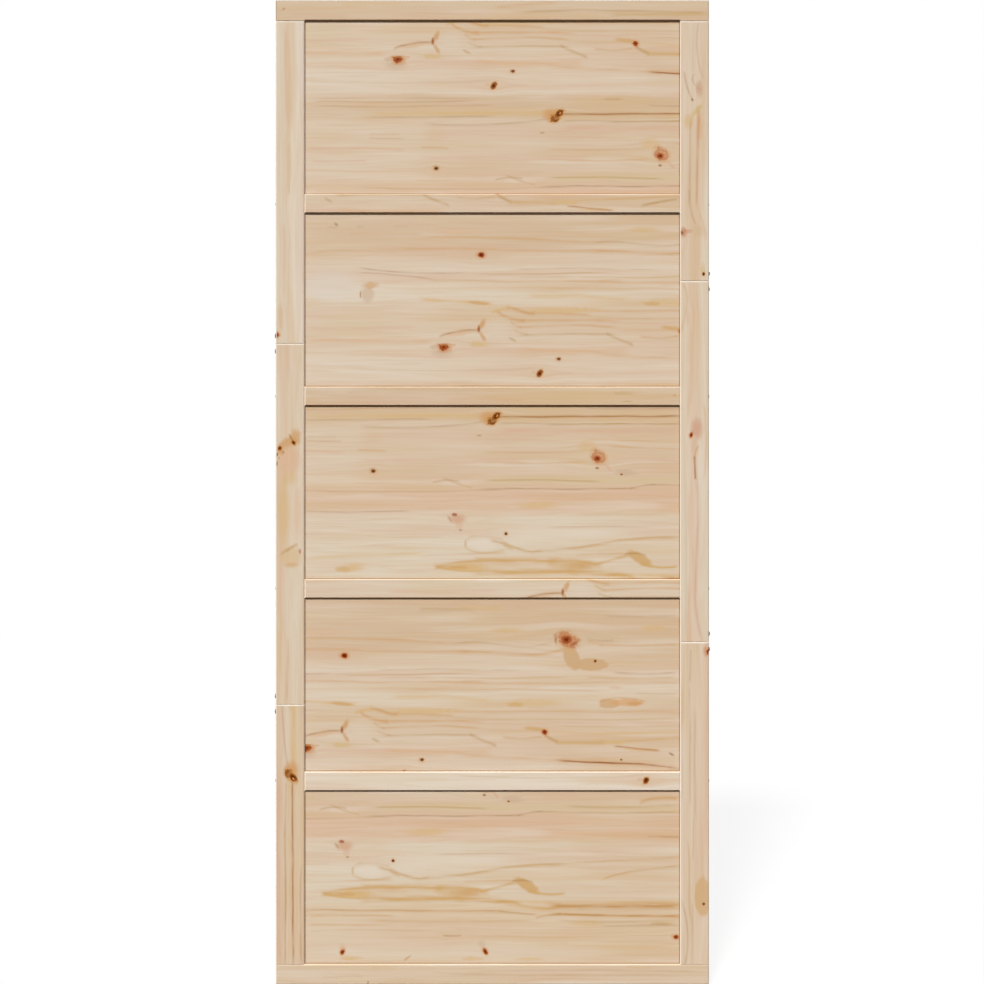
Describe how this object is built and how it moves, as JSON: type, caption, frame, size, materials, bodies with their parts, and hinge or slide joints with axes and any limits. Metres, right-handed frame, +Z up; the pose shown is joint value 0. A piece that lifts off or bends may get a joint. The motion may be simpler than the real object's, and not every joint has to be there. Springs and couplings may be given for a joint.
{
  "type": "sliding door leaf",
  "caption": "Solid pine sliding door leaf: a grooved frame of stiles and rails, stiles in butted lengths tied by steel plates, round a stack of flat recessed panels, hung from its top edge.",
  "frame": {"origin": "middle of the leaf's top edge, half way through its thickness", "axes": "+X across the leaf to the right as seen from the front, +Y through the leaf from front to back, +Z up out of the top edge"},
  "size_m": [0.9, 0.018, 2.045],
  "materials": {
    "pine_frame": "planed and sanded, unfinished pine",
    "pine_panel": "planed and sanded, unfinished knotty pine",
    "zinc_steel": "zinc plated"
  },
  "bodies": {
    "root": {"top_rail": "pine_frame", "bottom_rail": "pine_frame", "cross_rail_1": "pine_frame", "cross_rail_2": "pine_frame", "cross_rail_3": "pine_frame", "cross_rail_4": "pine_frame", "left_stile_upper": "pine_frame", "left_stile_middle": "pine_frame", "left_stile_lower": "pine_frame", "right_stile_upper": "pine_frame", "right_stile_middle": "pine_frame", "right_stile_lower": "pine_frame", "panel_1": "pine_panel", "panel_2": "pine_panel", "panel_3": "pine_panel", "panel_4": "pine_panel", "panel_5": "pine_panel", "joining_plate_left_upper": "zinc_steel", "joining_plate_left_lower": "zinc_steel", "joining_plate_right_upper": "zinc_steel", "joining_plate_right_lower": "zinc_steel"}
  },
  "joints": []
}
